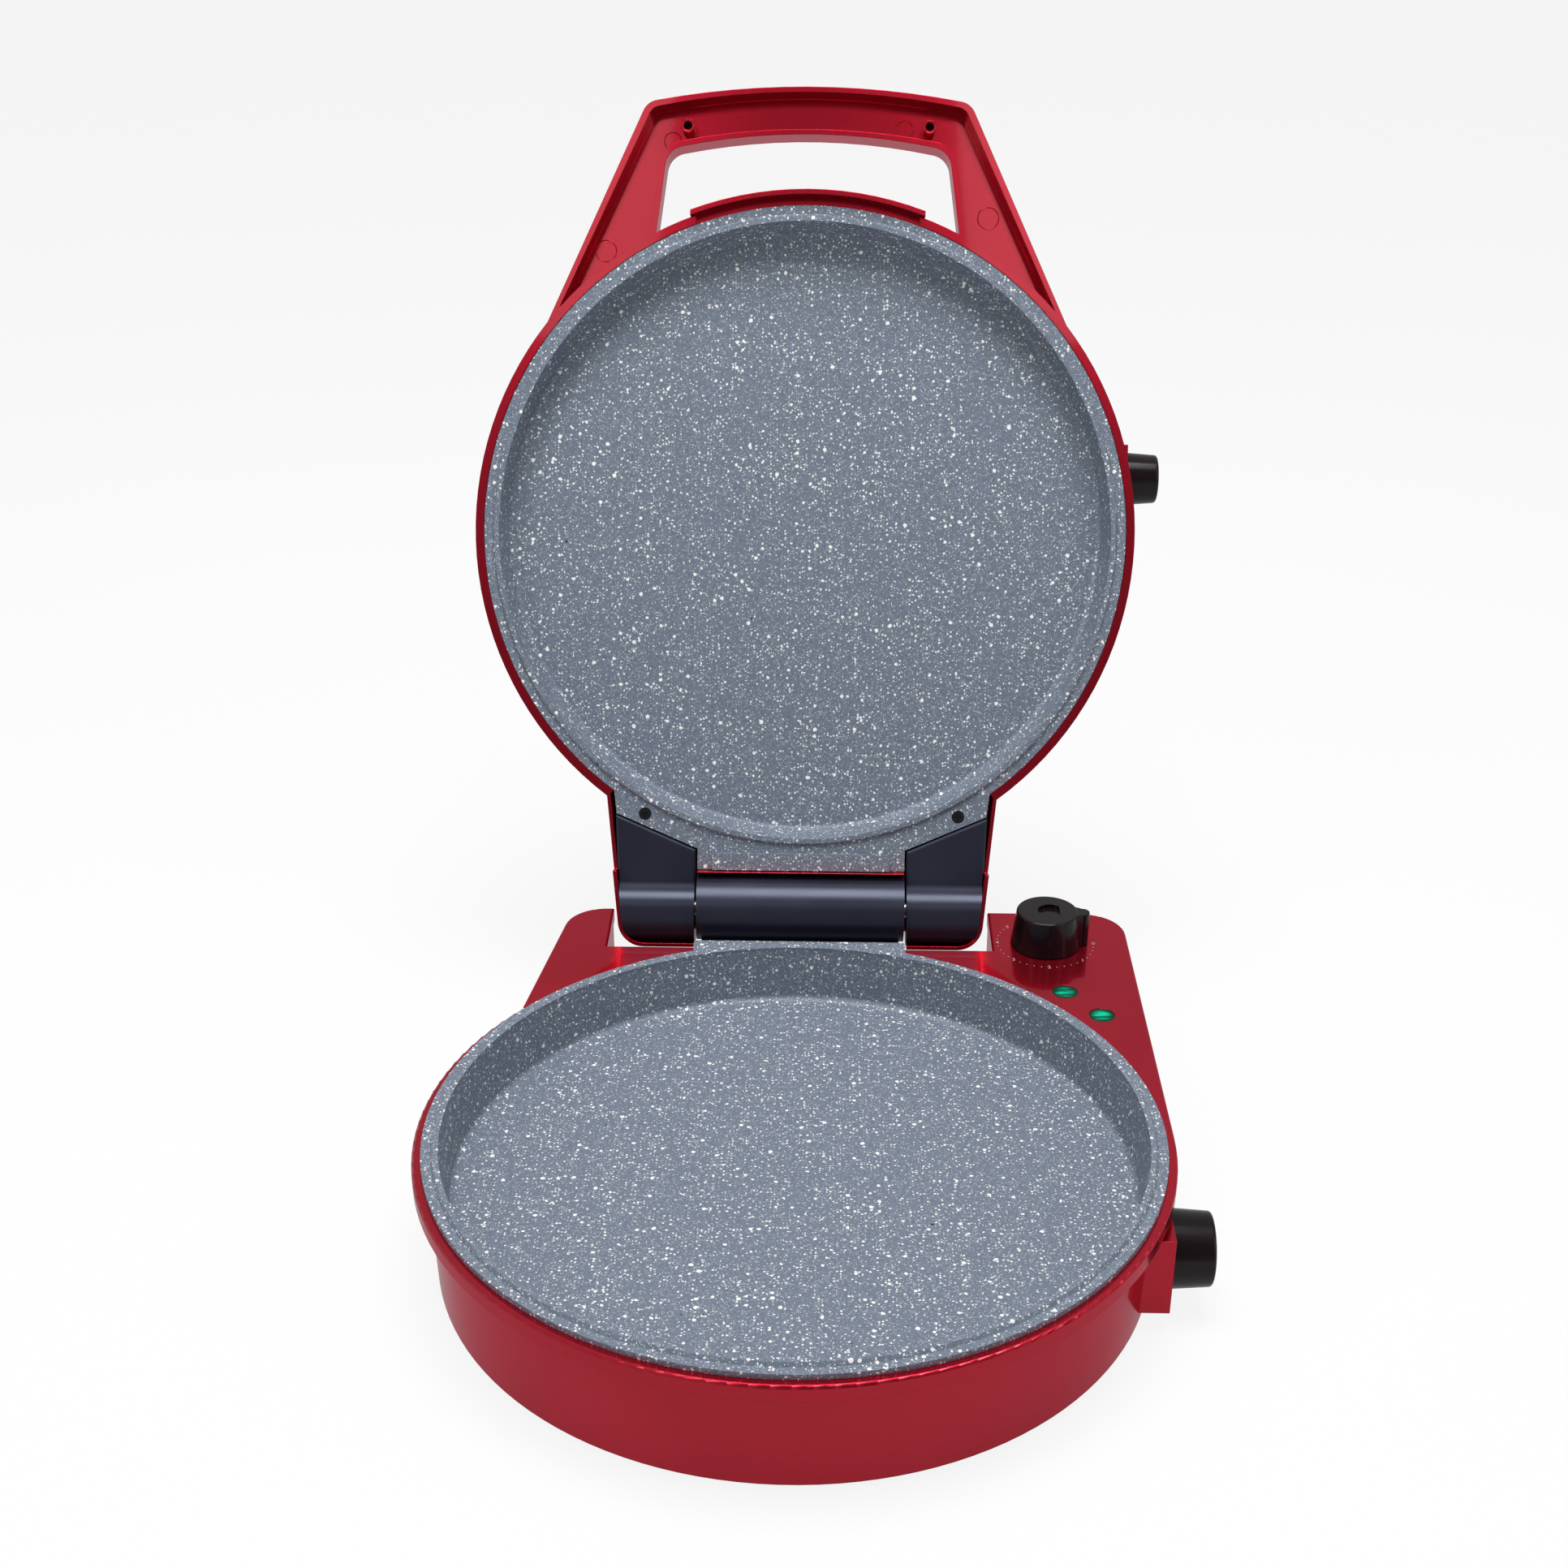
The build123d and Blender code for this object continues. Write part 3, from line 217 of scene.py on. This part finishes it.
def moulded(name, colour, rough, grain=1400.0, relief=0.15, specular=0.5, tint=(1.0, 1.0, 1.0)):
    """Moulded plastic with a fine grain, faint wear in its gloss and a slight drift of tone."""
    drift_scale, lighter = 22.0, 1.4
    light = tuple(min(1.0, c * lighter) for c in colour)
    tone_stops = ((0.3, colour), (0.75, light))
    rough_stops = ((0.25, rough * 0.85), (0.8, rough * 1.2))
    mat, tree, shader = material(name)
    flat = place(tree)
    drift = noise(tree, flat, drift_scale, detail=4.0)
    tree.links.new(ramp(tree, drift, tone_stops), shader.inputs["Base Color"])
    tree.links.new(ramp(tree, drift, rough_stops), shader.inputs["Roughness"])
    shader.inputs["Specular IOR Level"].default_value = specular
    shader.inputs["Specular Tint"].default_value = (*tint, 1)
    bump(tree, shader, noise(tree, flat, grain, detail=2.0), relief, distance=0.08 * MM)
    return mat


def metal(name, colour, rough, streak=(1, 1, 1), grain=2400.0):
    """Bare metal whose gloss varies along its brushing."""
    darker = 0.8
    dull = tuple(c * darker for c in colour)
    tone_stops = ((0.3, dull), (0.7, colour))
    rough_stops = ((0.2, rough * 0.8), (0.8, rough * 1.25))
    mat, tree, shader = material(name)
    lines = noise(tree, place(tree, streak), grain)
    tree.links.new(ramp(tree, lines, tone_stops), shader.inputs["Base Color"])
    tree.links.new(ramp(tree, lines, rough_stops), shader.inputs["Roughness"])
    shader.inputs["Metallic"].default_value = 1.0
    bump(tree, shader, lines, strength=0.08, distance=0.05 * MM)
    return mat


def heated_tube():
    """Steel tube dulled and tinted by heat."""
    drift_scale = 45.0
    dull, straw, blue = (0.16, 0.14, 0.13), (0.24, 0.19, 0.14), (0.17, 0.18, 0.22)
    rough_stops = ((0.2, 0.35), (0.8, 0.55))
    mat, tree, shader = material("heater_tube")
    drift = noise(tree, place(tree), drift_scale, detail=4.0)
    tint = ramp(tree, drift, ((0.25, dull), (0.5, straw), (0.75, blue)))
    tree.links.new(tint, shader.inputs["Base Color"])
    tree.links.new(ramp(tree, drift, rough_stops), shader.inputs["Roughness"])
    shader.inputs["Metallic"].default_value = 0.9
    return mat


def green_lens():
    """Translucent green lens with streaks inside, painted shade darkening its rim, and a faint
    painted glow.
    """
    streak_scale, streak_stretch = 620.0, (0.15, 1.0, 1.0)
    dark, middle, bright = (0.0, 0.05, 0.03), (0.0, 0.20, 0.11), (0.0, 0.50, 0.27)
    rim_shade_tone = (0.0, 0.04, 0.02)
    per_centimetre = 100.0
    rim_shade_start, rim_shade_full = 0.42, 0.62
    mat, tree, shader = material("green_lens")
    streaks = noise(tree, place(tree, streak_stretch), streak_scale, detail=2.0)
    body = ramp(tree, streaks, ((0.36, dark), (0.5, middle), (0.66, bright)))
    # Painted shade: the tone darkens from the middle of each lens out to its rim.
    nearest = maths(
        tree, "MINIMUM", from_centre(tree, "power_lens"), from_centre(tree, "ready_lens")
    )
    away = maths(tree, "MULTIPLY", nearest, per_centimetre)
    rim_shade = ramp(tree, away, ((rim_shade_start, 0.0), (rim_shade_full, 1.0)))
    tone = blend_colour(tree, rim_shade, body, rim_shade_tone)
    tree.links.new(tone, shader.inputs["Base Color"])
    # Painted glow: the lens gives off light in its own tone, painted rim shade included, though it
    # is no lamp.
    tree.links.new(tone, shader.inputs["Emission Color"])
    shader.inputs["Emission Strength"].default_value = 0.25
    shader.inputs["Roughness"].default_value = 0.12
    shader.inputs["Specular IOR Level"].default_value = 0.08
    return mat


def lamp_glass():
    """Clear glass of the small lamps."""
    drift_scale = 80.0
    tone_stops = ((0.3, (0.80, 0.88, 0.82)), (0.7, (0.90, 0.95, 0.92)))
    mat, tree, shader = material("lamp_glass")
    tint = ramp(tree, noise(tree, place(tree), drift_scale), tone_stops)
    tree.links.new(tint, shader.inputs["Base Color"])
    shader.inputs["Roughness"].default_value = 0.05
    shader.inputs["Transmission Weight"].default_value = 0.9
    return mat


def white_print():
    """Pale ink of the dial marks."""
    grain_scale = 3000.0
    tone_stops = ((0.3, (0.36, 0.25, 0.27)), (0.7, (0.54, 0.42, 0.44)))
    mat, tree, shader = material("dial_ink")
    tone = ramp(tree, noise(tree, place(tree), grain_scale), tone_stops)
    tree.links.new(tone, shader.inputs["Base Color"])
    shader.inputs["Roughness"].default_value = 0.5
    return mat


bluish = (0.70, 0.76, 1.0)
finish = {
    "red_plastic": red_plastic(),
    "stone_coat": stone_coat(),
    "black_plastic": moulded("satin_black", (0.017, 0.018, 0.030), 0.30, tint=bluish),
    "black_gloss": moulded("gloss_black", (0.007, 0.004, 0.005), 0.15, relief=0.02, specular=0.3),
    "feet_rubber": moulded("feet_rubber", (0.015, 0.015, 0.015), 0.75, grain=900.0, relief=0.4),
    "green_lens": green_lens(),
    "black_screws": metal("black_screws", (0.05, 0.05, 0.055), 0.4),
    "steel": metal("steel", (0.56, 0.56, 0.57), 0.3),
    "heater_tube": heated_tube(),
    "reflector_sheet": metal(
        "reflector_sheet", (0.78, 0.78, 0.79), 0.28, streak=(1, 12, 1), grain=500.0
    ),
    "lamp_glass": lamp_glass(),
    "control_body": moulded("control_body", (0.55, 0.51, 0.42), 0.55),
}
slot_of = {row["node"]: row["material_slot"] for row in frame["record"]["subparts"]}
for name, obj in nodes.items():
    obj.data.materials.clear()
    obj.data.materials.append(finish[slot_of[name]])


def ride_mesh(name, shape, mat, body):
    """Turns a bmesh into an object that rides on a body, and frees it."""
    mesh = bpy.data.meshes.new(name)
    shape.to_mesh(mesh)
    shape.free()
    mesh.materials.append(mat)
    obj = bpy.data.objects.new(name, mesh)
    bpy.context.collection.objects.link(obj)
    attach(obj, body)


# Dial: dots and plain numbers on the deck, round the knob.
ink = white_print()
dial_x, dial_y = 122.3 * MM, 166.9 * MM
deck_z = 23.5 * MM
ink_lift = 0.04 * MM
ink_depth = 0.01 * MM
dial_radius = 23.9 * MM
dot_radius = 0.31 * MM
dot_corners = 10
gaps_between_numbers = 5
number_height = 3.6 * MM
number_degrees = (0, 45, 90, 135, 180, 222)


def dial_point(degrees):
    """Place on the dial ring, counted from the right and turning through the front."""
    turn = math.radians(-degrees)
    x = dial_x + dial_radius * math.cos(turn)
    y = dial_y + dial_radius * math.sin(turn)
    return Vector((x, y, deck_z + ink_lift))


def dial_dots():
    """Small round dots between the numbers."""
    shape = bmesh.new()
    for start, end in zip(number_degrees, number_degrees[1:]):
        for part in range(1, gaps_between_numbers):
            centre = dial_point(start + (end - start) * part / gaps_between_numbers)
            bmesh.ops.create_circle(
                shape, cap_ends=True, segments=dot_corners, radius=dot_radius,
                matrix=Matrix.Translation(centre),
            )
    ride_mesh("dial_dots", shape, ink, "base")


def dial_number(number, degrees):
    """One plain number of the dial."""
    text = bpy.data.curves.new(f"dial_{number}", "FONT")
    text.body = str(number)
    text.size = number_height
    text.align_x = "CENTER"
    text.align_y = "CENTER"
    text.extrude = ink_depth
    text.materials.append(ink)
    figure = bpy.data.objects.new(f"dial_{number}", text)
    figure.location = dial_point(degrees)
    bpy.context.collection.objects.link(figure)
    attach(figure, "base")


dial_dots()
for number, degrees in enumerate(number_degrees):
    dial_number(number, degrees)


# Fine rings in the handle's channel, given where they lie with the lid closed: the marks of the
# ejector pins on its floor, and the lips on the ends of the two screw bosses.
hinge_y, hinge_z, open_angle = 187.0 * MM, 30.5 * MM, math.radians(111)
channel_z = 45.1 * MM
boss_end_z = 34.6 * MM
mark_wire = 0.26 * MM
lip_wire = 0.32 * MM
ring_steps, wire_steps = 40, 8
marks = ((-67, -192, 4.2), (47, -198, 4.2), (-100, -139, 5.2), (89, -156, 5.2))
lips = ((-59, -197.5, 3.0), (59, -197.5, 3.0))
to_rest = (
    Matrix.Translation((0, hinge_y, hinge_z)) @ Matrix.Rotation(-open_angle, 4, "X")
    @ Matrix.Translation((0, -hinge_y, -hinge_z))
)


def fine_ring(name, x, y, z, radius, wire):
    """Fine raised ring on a flat of the lid. x, y and radius are in millimetres."""
    shape = bmesh.new()
    rings = []
    for step in range(ring_steps):
        turn = 2 * math.pi * step / ring_steps
        ring = []
        for part in range(wire_steps):
            lean = 2 * math.pi * part / wire_steps
            reach = radius * MM + wire * math.cos(lean)
            across = x * MM + reach * math.cos(turn)
            along = y * MM + reach * math.sin(turn)
            point = Vector((across, along, z + wire * math.sin(lean)))
            ring.append(shape.verts.new(to_rest @ point))
        rings.append(ring)
    for here, there in zip(rings, rings[1:] + rings[:1]):
        for part in range(wire_steps):
            following = (part + 1) % wire_steps
            face = shape.faces.new((here[part], here[following], there[following], there[part]))
            face.smooth = True
    bmesh.ops.recalc_face_normals(shape, faces=shape.faces)
    ride_mesh(name, shape, finish["red_plastic"], "lid")


for number, (x, y, radius) in enumerate(marks, 1):
    fine_ring(f"mould_mark_{number}", x, y, channel_z, radius, mark_wire)
for number, (x, y, radius) in enumerate(lips, 1):
    fine_ring(f"boss_lip_{number}", x, y, boss_end_z, radius, lip_wire)


# Floor, world, lamps and camera.
table_z = -35 * MM
floor_size = 12.0
floor_gloss_level = 0.5
floor_glow_share = 0.88
world_plain_level = 0.21
world_gloss_share = 0.3
dim_heading = (0.0, -0.85, 0.53)
dim_stops = ((0.76, 0.0), (0.92, 0.75))


def floor_paper():
    """White paper, seen white by the camera and half as bright in reflections."""
    cloud_scale = 3.0
    tone_stops = ((0.2, 0.84), (0.8, 0.88))
    mat, tree, shader = material("floor_paper")
    shader.inputs["Roughness"].default_value = 0.9
    tone = ramp(tree, noise(tree, place(tree), cloud_scale), tone_stops)
    tree.links.new(tone, shader.inputs["Base Color"])
    glow = add(tree, "ShaderNodeEmission")
    path = add(tree, "ShaderNodeLightPath").outputs
    clear = maths(tree, "MAXIMUM", path["Is Camera Ray"], path["Is Transmission Ray"])
    gloss = maths(tree, "MULTIPLY", path["Is Glossy Ray"], floor_gloss_level)
    tree.links.new(maths(tree, "MAXIMUM", clear, gloss), glow.inputs["Strength"])
    seen = maths(tree, "MAXIMUM", clear, path["Is Glossy Ray"])
    mix = add(tree, "ShaderNodeMixShader")
    tree.links.new(maths(tree, "MULTIPLY", seen, floor_glow_share), mix.inputs["Fac"])
    tree.links.new(shader.outputs[0], mix.inputs[1])
    tree.links.new(glow.outputs[0], mix.inputs[2])
    tree.links.new(mix.outputs[0], tree.nodes["Material Output"].inputs["Surface"])
    return mat


def studio():
    """World that is white to the camera and a plain low light on the object.

    Gloss mirrors a dim part of the room, high on the side that the open lid faces.
    """
    world = bpy.data.worlds.new("studio")
    bpy.context.scene.world = world
    world.use_nodes = True
    sky = world.node_tree
    back = sky.nodes["Background"]
    back.inputs["Color"].default_value = (1, 1, 1, 1)
    path = add(sky, "ShaderNodeLightPath").outputs
    seen = maths(sky, "MAXIMUM", path["Is Camera Ray"], path["Is Transmission Ray"])
    gloss = maths(sky, "MULTIPLY", path["Is Glossy Ray"], world_gloss_share)
    seen = maths(sky, "MAXIMUM", seen, gloss)
    gain = maths(sky, "MULTIPLY", seen, 1 - world_plain_level)
    level = maths(sky, "ADD", gain, world_plain_level)
    heading = add(sky, "ShaderNodeVectorMath", operation="DOT_PRODUCT")
    sky.links.new(add(sky, "ShaderNodeTexCoord").outputs["Generated"], heading.inputs[0])
    heading.inputs[1].default_value = dim_heading
    dimming = ramp(sky, heading.outputs["Value"], dim_stops)
    lost = maths(sky, "MULTIPLY", path["Is Glossy Ray"], dimming)
    kept = maths(sky, "SUBTRACT", 1.0, lost)
    sky.links.new(maths(sky, "MULTIPLY", level, kept), back.inputs["Strength"])


def softbox(name, location, target, size, power):
    """A rectangular area lamp aimed at a point. Sizes are in metres, power in watts."""
    lamp = bpy.data.lights.new(name, "AREA")
    lamp.shape = "RECTANGLE"
    lamp.size, lamp.size_y = size
    lamp.energy = power
    obj = bpy.data.objects.new(name, lamp)
    obj.location = location
    aim = Vector(target) - Vector(location)
    obj.rotation_euler = aim.to_track_quat("-Z", "Y").to_euler()
    bpy.context.collection.objects.link(obj)


bpy.ops.mesh.primitive_plane_add(size=floor_size, location=(0, 0, table_z))
floor = bpy.context.object
floor.name = "floor"
floor.data.materials.append(floor_paper())
studio()

base_middle = (0, 0.05, 0.1)
pan_middle = (0, 0.05, 0.05)
handle_middle = (0, 0.32, 0.33)
tall, strip = (0.25, 1.2), (0.34, 0.55)
softbox("key_light", (-1.1, -0.7, 1.2), base_middle, tall, 3.0)
softbox("fill_light", (1.3, -0.6, 1.0), base_middle, tall, 1.8)
softbox("top_light", (0.0, -0.03, 1.9), pan_middle, (1.2, 0.9), 33.5)
softbox("left_strip", (-0.38, -1.4, 1.5), handle_middle, strip, 1.15)
softbox("right_strip", (0.36, -1.4, 1.5), handle_middle, strip, 1.25)

# The camera as fitted to the photograph, in pixels of its frame and millimetres.
image_side = 1932
focal_px = 2684.3
centre_drop_px = 94.0
right = Vector((0.99979, 0.02018, 0.00273))
up = Vector((-0.01173, 0.46138, 0.88713))
back_way = Vector((0.01665, -0.88697, 0.46152))
eye = Vector((9.79, -779.45, 560.67)) * MM
camera_data = bpy.data.cameras.new("camera")
camera_data.sensor_width = 36.0
camera_data.lens = focal_px / image_side * camera_data.sensor_width
camera_data.shift_y = centre_drop_px / image_side
camera_data.clip_start = 10 * MM
camera = bpy.data.objects.new("camera", camera_data)
turn = Matrix((right, up, back_way)).transposed().to_4x4()
camera.matrix_world = Matrix.Translation(eye) @ turn
bpy.context.collection.objects.link(camera)
bpy.context.scene.camera = camera
bpy.context.scene.view_settings.view_transform = "Standard"
